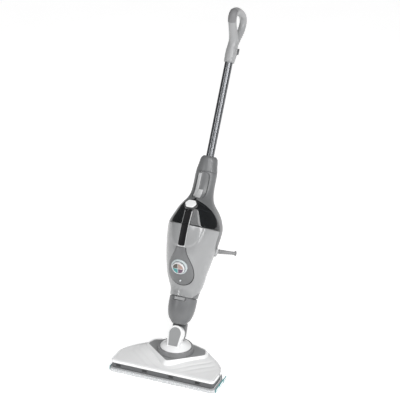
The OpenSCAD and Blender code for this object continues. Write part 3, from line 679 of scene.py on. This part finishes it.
def neck():
    """Bulb-shaped neck with a recess for its release button."""
    heights = [61, 61.3, 62, 63] + steps(64.5, 126, 30) + [127, 127.8, 128.4, 129] + steps(131, 136, 4)
    heights += [136.8, 137.2, 137.6, 138, 138.6, 139.6]
    half, low, high, depth = 16.6, 127.4, 137.8, 2.6  # the recess
    rows = []
    for h in heights:
        row = []
        for i in range(96):
            a = math.tau * i / 96
            inset = 0.9 * max(0, 1 - (h - 61) / 1.6) ** 2 + 3.2 * ease((h - 136.9) / 1.3)
            x = (at(NECK, h, 1) - inset) * math.cos(a)
            y = (at(NECK, h, 2) - inset) * math.sin(a)
            if math.sin(a) < 0:
                inside = ease((half - abs(x)) / 1.2) * ease((h - low) / 1.2) * ease((high - h) / 0.8)
                y += depth * inside
                y += 0.5 * math.exp(-((abs(x) - 27) / 1.2) ** 2)
            row.append(Vector((x, NECK_Y + y, h)))
        rows.append(row)
    obj = grid_object("neck_moulding", rows, POLE, wrap=True, caps=True)
    return finish_piece(obj, "unit", NECK_GREY, ["lower_neck"], smooth=45)


# ---- Steam unit

FINE = (0, 0.35, 0.8, 1.4, 2.2, 3.2)  # distances from a rolled edge where the mesh is dense
INNER = 4.4  # distance from which its steps are even


def near_ends(a, b, step):
    """Heights from a to b that are close together at both ends."""
    inner = steps(a + INNER, b - INNER, max(1, round((b - a - 2 * INNER) / step)))
    return [a + f for f in FINE] + inner + [b - f for f in FINE[::-1]]


def two_runs(middle, high, step):
    """Heights from the unit's lower end over a middle one to a high one, dense at the two ends."""
    return near_ends(UNIT_FROM, middle, 2.2)[:-len(FINE)] + near_ends(middle, high, step)[len(FINE) - 1:]


def rim_drop(d, depth=0.9, reach=1.4):
    """How far a moulded edge falls away at a distance d from it."""
    return depth * max(0.0, 1 - d / reach) ** 2


def patch(name, heights, sides, out, thick, columns):
    """Sheet on the unit's skin between two angles, which may change with height, with rolled edges."""
    low, high = heights[0], heights[-1]
    rows = []
    for h in heights:
        a0, a1 = sides(h)
        w = max(at(UNIT, h, 1), at(UNIT, h, 2))
        across = math.radians(a1 - a0) * w
        reach = min(1.0, across / 16)
        ts = [f * reach / across for f in FINE]
        inner = INNER * reach / across
        ts = ts + steps(inner, 1 - inner, columns) + [1 - t for t in ts[::-1]]
        row = []
        for t in ts:
            a = a0 + (a1 - a0) * t
            edge = min(t * across, (1 - t) * across, h - low, high - h)
            row.append(skin(h, a, out(h, a) - rim_drop(edge)))
        rows.append(row)
    obj = grid_object(name, rows)
    modifier(obj, "SOLIDIFY", thickness=thick * MM, offset=-1)
    return bake(obj)


def lobe(h, a):
    """Raised panel on each side of the strip, bounded by a curved groove that sweeps down to the pod."""
    p = skin(h, a)
    if p.y > 0 or h < STRIP_FROM:
        return 0.0
    inner, swell, length = 12, 37, 62
    reach = inner + swell * math.sqrt(max(0, 1 - ((TANK_FROM - h) / length) ** 2))
    away = abs(p.x) - reach
    return 1.7 * ease(-away / 2.2) - 0.7 * math.exp(-((away - 0.6) / 1.1) ** 2)


def front_shell():
    """Light front shell."""
    gap = 0.9  # degrees to the joint line
    obj = patch("front_shell_skin", two_runs(LOW_TO, TANK_FROM - 0.5, 3.2),
                lambda h: (-180 - at(SEAM, h, 1) + gap, at(SEAM, h, 1) - gap), lobe, SHELL_T, 130)
    return finish_piece(obj, "unit", SHELL_SILVER, ["front_shell"], smooth=50)


def rear_sides(h):
    """Angles between which the rear shell lies: the seam below, the neck's cover above it."""
    seam_to = SEAM[-1][0]
    if h < seam_to + 1:
        start = at(SEAM, min(h, seam_to), 1)
    else:
        start = at(PANEL, min(max(h, COVER_FROM), COVER_TO), 1) - 90
    return start, 180 - start


def rear_shell():
    """Dark rear shell, which closes round the neck above the tank."""
    heights = two_runs(LOW_TO, 404, 3.6)[:-len(FINE)] + steps(403, 426, 18) + steps(428, 495, 22)
    heights += [496.5, 497.6, 498.4, 499, 499.4, 499.7]
    obj = patch("rear_shell_skin", heights, rear_sides, lambda h, a: 0.0, SHELL_T, 110)
    return finish_piece(obj, "unit", NECK_GREY, ["rear_shell"], smooth=50)


# Where the cord guard leaves the rear shell, its length along Z
CORD_ROOT = (POLE @ Matrix.Translation((64, 29, 284)) @ Matrix.Rotation(math.radians(35), 4, "Z")
             @ Matrix.Rotation(math.radians(85), 4, "Y"))


def neck_cover():
    """Sunk cover on the front of the neck, a degree clear of the rear shell on both sides."""
    def sides(h):
        half = at(PANEL, h, 1)
        return -90 - half + 1, -90 + half - 1

    obj = patch("neck_panel", near_ends(419.2, 499, 2.4), sides, lambda h, a: -1.5, 1.6, 40)
    return finish_piece(obj, "unit", NECK_GREY, ["neck_cover"], smooth=50)


def band(name, heights, left, right, low, high, columns=24):
    """Band on the unit's front between its edges at each height, from low to high over the skin."""
    rows = []
    over = [(0, 1.1), (0.3, 0.5), (0.8, 0.1)]
    for h in heights:
        x0, x1 = left(h), right(h)
        drop = rim_drop(min(h - heights[0], heights[-1] - h), 0.8, 1.2)
        xs = [(x0, low)] + [(x0 + f, high - g) for f, g in over]
        xs += [(x, high) for x in steps(x0 + 1.5, x1 - 1.5, columns)]
        xs += [(x1 - f, high - g) for f, g in over[::-1]] + [(x1, low)]
        ring = [front(h, x, z if z == low else z - drop) for x, z in xs]
        inner = [front(h, x, low) for x in steps(x1, x0, columns)[1:-1]]
        rows.append(ring + inner)
    return grid_object(name, rows, POLE, wrap=True, caps=True)


def pod_half(h):
    """Half width of the pod: round below, narrowing to the strip above."""
    middle, radius, narrows_from, strip_half = 209, 37, 216, 13.4
    if h < narrows_from:
        return math.sqrt(max(radius * radius - (h - middle) ** 2, 4))
    return strip_half + 22.9 * (1 - ease((h - narrows_from) / 60))


def pod():
    """Control pod on the front shell, and the dark seal that shows round it."""
    def seal_half(h):
        return pod_half(h * 0.984 + 4.1) + 1.6

    heights = steps(170.6, 172, 3) + steps(173, 180, 7) + steps(184, 275, 46)
    seal = band("pod_seal", heights, lambda h: -seal_half(h), seal_half, 0.1, 1.1, 40)
    finish_piece(seal, "unit", BLACK_SATIN, smooth=50)
    heights = [172.2, 172.5, 173, 173.8, 175, 176.6, 178.6, 181] + steps(184, 274, 46)
    obj = band("pod_moulding", heights, lambda h: -pod_half(h), pod_half, 0.3, 2.6, 40)
    return finish_piece(obj, "unit", POD_GREY, ["control_pod"], smooth=50)


def strips():
    """Black strip with its light border, in two lengths: one on the unit and one on the tank."""
    trim_half, half, radius = 11.3, 10, 4

    def strip_half(h, base):
        over = max(base + radius - h, 0)
        return half - radius + math.sqrt(max(radius * radius - over * over, 0))

    for name, start, end, body, trim, strip in [
            ("unit", STRIP_FROM, TANK_FROM - 0.6, "unit", "body_trim", "body_strip"),
            ("tank", TANK_FROM, 379, "tank", "tank_trim", "tank_strip")]:
        fine = (0, 0.3, 0.8, 1.5, 2.4, 3.4) if name == "unit" else (0, 0.4, 1)
        heights = [start + f for f in fine] + steps(start + 5, end - 1.5, 24) + [end - 0.9, end - 0.4, end]
        obj = band(name + "_light_trim", heights, lambda h: -trim_half, lambda h: trim_half, 0.2, 2.2)
        finish_piece(obj, body, LIGHT_GREY, [trim], smooth=50)
        base = STRIP_FROM + 3 if name == "unit" else start - 20
        heights = [max(h, base + 0.01) for h in heights if h >= base - 2]
        obj = band(name + "_black_strip", heights, lambda h: -strip_half(h, base),
                   lambda h: strip_half(h, base), 0.6, 3.0)
        finish_piece(obj, body, BLACK_STRIP, [strip], smooth=50)


def collar():
    """Rounded collar at the top of the neck, where the pole goes in."""
    heights = [COLLAR_FROM, COLLAR_FROM + 0.4, COLLAR_FROM + 1] + steps(503, 530, 12) + steps(532, 544, 10)
    heights += [COLLAR_TO - 0.4, COLLAR_TO]
    rows = []
    for h in heights:
        inset = 0.25 * max(0, 1 - (h - COLLAR_FROM)) ** 2
        rows.append([skin(h, 360 * i / 96, -inset) for i in range(96)])
    top = rows[-1]
    for shrink, drop in ((0.82, 0.4), (0.74, 1.4), (0.70, 3.5)):
        rows.append([Vector((p.x * shrink, p.y * shrink, COLLAR_TO + 0.3 - drop)) for p in top])
    obj = grid_object("collar_moulding", rows, POLE, wrap=True)
    return finish_piece(obj, "unit", NECK_GREY, ["collar"], smooth=50)


def grip_strip():
    """Light inset to the left of the trigger."""
    obj = band("grip_strip", near_ends(425, 493, 3), lambda h: -15.6, lambda h: -5.3, -2.2, -0.4, 8)
    return finish_piece(obj, "unit", LIGHT_GREY, ["grip_inset"], smooth=50)


def trigger():
    """Steam trigger's key, at the lower end of the neck's cover."""
    obj = band("trigger_key", near_ends(421.8, 446.8, 2), lambda h: -4.8, lambda h: 8.8, -6, 1.2, 10)
    return finish_piece(obj, "trigger", LIGHT_GREY, ["trigger"], smooth=50)


# ---- Dial

def dial():
    """Ring in the pod, ribbed knob and its printed face."""
    face = facing(DIAL, DIAL_TURN)
    ring = [(5.2, -4), (23.4, -4), (23.5, 0.6), (23.1, 1.9), (22.2, 2.9), (20.8, 3.4), (19.9, 3.2),
            (19.4, 2.4), (18.8, 2.0), (5.2, 2.0)]
    obj = turned("dial_ring_bezel", ring, face, 128)
    finish_piece(obj, "unit", RING_SILVER, ["dial_ring"], smooth=40)
    bm = bmesh.new()
    rows = []
    lobes, sides = 40, 240
    turns = [math.tau * i / sides for i in range(sides)]
    for r, z, grip in [(0, 3.9, 0), (17.6, 3.9, 0), (18.3, 4.6, 1), (18.1, 7, 1), (17.8, 9, 1),
                       (17.2, 10.0, 0.4), (16.6, 10.3, 0), (15.8, 10.2, 0), (15.4, 9.7, 0), (0, 9.7, 0)]:
        around = [(r + 0.28 * grip * math.cos(lobes * t), t) for t in turns]
        rows.append([Vector((far * math.cos(t), far * math.sin(t), z)) for far, t in around])
    add_grid(bm, rows, wrap=True)
    obj = new_object("dial_knob", bm, face)
    finish_piece(obj, "dial", KNOB_SILVER, ["dial"], smooth=40)
    dome = [(0, 10.8), (6, 10.75), (11, 10.6), (14, 10.35), (15.2, 10.0), (15.2, 9.6), (0, 9.6)]
    obj = turned("dial_face_disc", dome, face, 96, closed=False)
    finish_piece(obj, "dial", FACE_PRINT, ["dial_face"], smooth=40)


# ---- Tank

def tank_row(h, inset):
    """Half ring of the tank's wall at a height, set in from the unit's skin."""
    a = at(SEAM, h, 1) - inset * 1.3
    edge = min(h - TANK_FROM, TANK_TO - h)
    row = []
    for i in range(97):
        t = i / 96
        side = min(t, 1 - t) * math.radians(180 + 2 * a) * at(UNIT, h, 1)
        row.append(skin(h, -180 - a + (180 + 2 * a) * t, -inset - rim_drop(min(side, edge), 1.0, 2.0)))
    return row


def tank():
    """Smoked tank, hollow but for its nose."""
    heights = [TANK_FROM + f for f in (0, 0.3, 0.8, 1.5, 2.5)]
    heights += steps(345, 396, 20) + steps(397.5, 412, 12) + [TANK_TO - 1, TANK_TO]
    bm = bmesh.new()
    add_grid(bm, [tank_row(h, 0) for h in heights], wrap=True, caps=True)
    outer = new_object("tank_moulding", bm, POLE)
    bm = bmesh.new()
    wall, hollow_to = 2.6, 386
    inner = [tank_row(h, wall) for h in steps(TANK_FROM + 2.5, hollow_to, 14)]
    add_grid(bm, inner, wrap=True, caps=True)
    hollow = new_object("tank_hollow", bm, POLE)
    cut = modifier(outer, "BOOLEAN", operation="DIFFERENCE", solver="EXACT")
    cut.object = hollow
    bake(outer)
    bpy.data.objects.remove(hollow)
    return finish_piece(outer, "tank", SMOKE, ["water_tank"], smooth=50)


def hexagon():
    """Outline of the tank button: a wide hexagon with small corner radii."""
    wide, flat, tall = 15.6, 8.6, 12.4
    corners = [(-wide, 0), (-flat, -tall), (flat, -tall), (wide, 0), (flat, tall), (-flat, tall)]
    return spaced(grown(rounded([Vector(p) for p in corners], 3.4, 8), 1.5), 0.8)


def tank_button():
    """Tank button, and the thin black surround that it moves in."""
    face = facing(NOSE, NOSE_TURN)
    edge = hexagon()
    rim = [(3.4, -13.4), (3.4, 0.6), (3.1, 1.7), (2.3, 2.3), (1.3, 2.5), (0.8, 2.2), (0.45, 1.6),
           (0.45, -3.0)]
    obj = ribbon("button_surround", edge, rim, face)
    finish_piece(obj, "tank", BLACK_GLOSS, ["button_bezel"], smooth=40)
    profile = [(-3, -3.2), (0, -3.2), (0, 2.2), (-0.3, 3.2), (-1.0, 3.8), (-2.2, 4.1), (-4.2, 4.3), (-6, 4.4)]
    obj = ribbon("button_cap", edge, profile, face, cap_ends=True)
    return finish_piece(obj, "tank_button", WHITE, ["tank_button"], smooth=40)


# ---- Cord guard, pole and handle

def cord_guard():
    """Ribbed boot round the cord's exit, and the light bezel where it leaves the shell."""
    length, ribs, pitch, core, thickest, taper = 60, 9, 5.6, 4.1, 7.2, 0.26
    profile = [(3.7, -3), (6.2, -3), (7.4, -1.5), (7.5, 0.8)]
    for i in range(ribs):
        z = 1.8 + i * pitch
        r = thickest - taper * i
        profile += [(core, z), (core, z + 1.4), (r - 0.5, z + 1.6), (r, z + 2.1), (r, z + 3.9),
                    (r - 0.5, z + 4.4), (core, z + 4.6)]
    profile += [(4.9, length - 7), (5.1, length - 3.4), (6.9, length - 3), (7.3, length - 2.4),
                (7.3, length - 0.6), (6.9, length), (4.2, length), (3.7, length - 0.6)]
    obj = turned("cord_guard_boot", profile, CORD_ROOT, 48)
    finish_piece(obj, "unit", GUARD_GREY, ["cord_guard"], smooth=40)
    bezel = [(12.0, -6), (13.1, -6), (13.3, 0.2), (14.6, 1.2), (15.4, 0.9), (15.9, -0.6), (15.6, -3),
             (13.2, -6.4)]
    obj = turned("cord_bezel", bezel, CORD_ROOT, 72)
    return finish_piece(obj, "unit", LIGHT_GREY, smooth=40)


# Handle's centre line, from the pole up the front arm, round the loop and down to the pole again:
# distance back, height, radius of the arm
LOOP_LINE = [
    (0, 819, 14.8), (0.5, 834, 15.6), (2, 850, 16.2), (5, 868, 15.6), (2, 885, 13.8), (-11, 901, 12.6),
    (-27, 916, 12.0), (-40, 931, 12.0), (-44, 946, 12.2), (-36, 959, 12.0), (-18, 965, 11.6),
    (4, 966.5, 11.2), (28, 966, 10.8), (46, 960, 10.6), (55, 947, 10.6), (54, 931, 10.6), (46, 915, 10.8),
    (32, 897, 11.2), (17, 878, 12.0), (8, 862, 12.0),
]


def on_loop(t):
    """Point of the loop's line, the arm's radius there and the line's direction; t counts its points."""
    i = min(int(t), len(LOOP_LINE) - 2)
    near = [LOOP_LINE[min(max(i + d, 0), len(LOOP_LINE) - 1)] for d in (-1, 0, 1, 2)]
    u = t - i
    weights = ((-u + 2 * u * u - u ** 3) / 2, (2 - 5 * u * u + 3 * u ** 3) / 2,
               (u + 4 * u * u - 3 * u ** 3) / 2, (u ** 3 - u * u) / 2)
    slopes = ((-1 + 4 * u - 3 * u * u) / 2, (9 * u * u - 10 * u) / 2,
              (1 + 8 * u - 9 * u * u) / 2, (3 * u * u - 2 * u) / 2)
    y, h, radius = (sum(w * p[c] for w, p in zip(weights, near)) for c in range(3))
    along = Vector((0, *(sum(w * p[c] for w, p in zip(slopes, near)) for c in range(2)))).normalized()
    return Vector((0, y, h)), radius, along


def arm_rings(first, last, grow=0.0, arc=(0, 360), sides=40):
    """Rings round the loop's line between two of its points; 90 degrees of the arc faces outwards."""
    rows = []
    for t in steps(first, last, round((last - first) * 8)):
        centre, radius, along = on_loop(t)
        sideways, outwards = Vector((1, 0, 0)), Vector((0, -along.z, along.y))
        turns = [math.radians(arc[0] + (arc[1] - arc[0]) * n / sides) for n in range(sides + 1)]
        rows.append([centre + (sideways * math.cos(a) + outwards * math.sin(a)) * (radius + grow)
                     for a in turns])
    return rows


def handle():
    """Loop handle with round arms, a darker grey patch on its front top, the cord hook behind it and the
    tube's release key.
    """
    last = len(LOOP_LINE) - 1
    bm = bmesh.new()
    for first, end in ((0, 9), (8, last)):
        add_grid(bm, [row[:-1] for row in arm_rings(first, end)], wrap=True, caps=True)
    obj = softened(new_object("handle_moulding", bm), 1.3, 9)
    finish_piece(obj, "unit", HANDLE_GREY, ["handle_loop"], smooth=0)
    # Darker grey patch on the outer face of the loop, from its point 7 to near its point 9.
    obj = grid_object("dark_patch", arm_rings(7.0, 8.9, 0.5, (25, 155)))
    modifier(obj, "SOLIDIFY", thickness=1.6 * MM, offset=0)
    modifier(obj, "BEVEL", width=0.5 * MM, segments=2, limit_method="ANGLE", angle_limit=math.radians(50))
    finish_piece(bake(obj), "unit", PATCH_GREY, ["handle_grip"], smooth=40)
    bm = bmesh.new()
    plate, link = (7, 12, 18, 27, 821, 858), (12, 12.5, 24, 36, 849, 857)
    finger = (12, 12.5, 31, 36, 849, 867)
    for half_low, half_high, y0, y1, h0, h1 in (plate, link, finger):
        rows = [[Vector((-half, y0, h)), Vector((half, y0, h)), Vector((half, y1, h)), Vector((-half, y1, h))]
                for half, h in ((half_low, h0), (half_high, h1))]
        add_grid(bm, rows, wrap=True, caps=True)
    obj = softened(new_object("cord_hook_moulding", bm), 0.8, 6)
    finish_piece(obj, "cord_hook", BASE_GREY, ["cord_hook"], smooth=0)
    obj = moulded("tube_release_key", "tube_release", 0.8, 6)
    root = Vector((0, 13.5, 495))
    proud = Matrix.Translation(root) @ Matrix.Diagonal((1.25, 1.3, 1, 1)) @ Matrix.Translation(-root)
    obj.data.transform(POLE @ proud @ POLE.inverted())
    finish_piece(obj, "tube_release", RUBBER, ["tube_release"], smooth=0)


# ---- CAD nodes that keep their shape

KEPT = {
    "hook_strips": HOOK_TAPE, "base_plate": BASE_GREY, "pad_clips": BLACK_SATIN, "steam_bar": BRASS,
    "turret_bearings": BASE_GREY, "delta_plate": DECK_GREY, "head_screws": STEEL, "turret_inlay": DECK_GREY,
    "knuckle_pin": STEEL, "steam_spigot": BRASS, "neck_button": DECK_GREY, "neck_button_spring": STEEL,
    "trigger_spring": STEEL, "tube_release_spring": STEEL, "led_lens": LED_CLEAR, "cord_gland": BLACK_SATIN,
    "boiler": ALUMINIUM, "pump": BLACK_SATIN, "circuit_board": BOARD_GREEN, "thermostat": PHENOLIC,
    "water_hose": SILICONE, "steam_hose": SILICONE, "tank_bulkhead": DECK_GREY, "shell_screws": STEEL,
    "tank_button_spring": STEEL, "tank_valve": SILICONE, "pole_tube": POLE_METAL, "hook_screw": STEEL,
}
EASED = {"base_plate": 0.5, "pad_clips": 0.5, "delta_plate": 0.7, "turret_inlay": 0.5, "neck_button": 1.0,
         "led_lens": 0.5, "hook_screw": 0.4, "steam_bar": 0.6, "boiler": 1.0, "pump": 1.0}


def keep_nodes():
    """Materials, and some softer edges, for the CAD nodes that no piece stands for."""
    for name, mat in KEPT.items():
        obj = frame["nodes"][name]
        obj.data.materials.clear()
        obj.data.materials.append(mat)
        if name in EASED:
            modifier(obj, "WELD", merge_threshold=0.00001)
            modifier(obj, "BEVEL", width=EASED[name] * MM, segments=3, limit_method="ANGLE",
                     angle_limit=math.radians(40), harden_normals=True)


# ---- Stage

def stage():
    """Pale floor and a dim white world."""
    bm = bmesh.new()
    bmesh.ops.create_grid(bm, x_segments=1, y_segments=1, size=30)
    floor = new_object("floor", bm, Matrix.Identity(4))
    mat, tree, shader = surface("floor_white", 0.85)
    tree.links.new(ramp(tree, spots(tree, 3), (0.93, 0.93, 0.93), (0.95, 0.95, 0.95)),
                   shader.inputs["Base Color"])
    shader.inputs["Emission Color"].default_value = (1, 1, 1, 1)
    shader.inputs["Emission Strength"].default_value = 0.5
    floor.data.materials.append(mat)
    world = bpy.data.worlds.new("studio")
    bpy.context.scene.world = world
    world.use_nodes = True
    world.node_tree.nodes["Background"].inputs["Color"].default_value = (1, 1, 1, 1)
    world.node_tree.nodes["Background"].inputs["Strength"].default_value = 0.12
    bpy.context.scene.view_settings.view_transform = "Standard"


AIM = Vector((0.0105, 0.15, 0.468))  # point that the camera and the lights face


def towards(azimuth, elevation):
    """Unit vector from AIM at these angles in degrees; azimuth 0 is straight in front of the mop."""
    a, e = math.radians(azimuth), math.radians(elevation)
    return Vector((math.sin(a) * math.cos(e), -math.cos(a) * math.cos(e), math.sin(e)))


def aimed(name, data, back, distance=0.0, roll=0.0):
    """Light or camera at a distance from AIM, facing it."""
    obj = bpy.data.objects.new(name, data)
    obj.location = AIM + back * distance
    turn = (-back).to_track_quat("-Z", "Y").to_matrix().to_4x4()
    obj.rotation_euler = (turn @ Matrix.Rotation(math.radians(roll), 4, "Z")).to_euler()
    bpy.context.scene.collection.objects.link(obj)
    return obj


def softbox(name, azimuth, elevation, distance, size, power):
    data = bpy.data.lights.new(name, "AREA")
    data.shape = "RECTANGLE"
    data.size, data.size_y = size
    data.energy = power
    aimed(name, data, towards(azimuth, elevation), distance)


def sun(azimuth, elevation, strength):
    data = bpy.data.lights.new("sun", "SUN")
    data.energy = strength
    data.angle = math.radians(40)
    aimed("sun", data, towards(azimuth, elevation))


def camera():
    """Camera at the photo's angle."""
    data = bpy.data.cameras.new("camera")
    data.lens = 143.8
    data.sensor_width = 36
    data.clip_end = 100
    bpy.context.scene.camera = aimed("camera", data, towards(20.7, 23.8), distance=4.5, roll=1.8)


camera()
stage()
sun(35, 48, 1.55)
softbox("softbox_right", 66, 26, 2.6, (0.45, 2.2), 26)
softbox("softbox_left", -34, 22, 3.0, (0.35, 2.2), 16)
softbox("softbox_top", 25, 78, 3.0, (1.4, 1.0), 10)
keep_nodes()
head_cover()
delta_frame()
seat()
pad()
pad_hem()
pad_tabs()
turret()
neck()
neck_lug()
front_shell()
rear_shell()
neck_cover()
pod()
strips()
collar()
grip_strip()
trigger()
dial()
tank()
tank_button()
cord_guard()
handle()
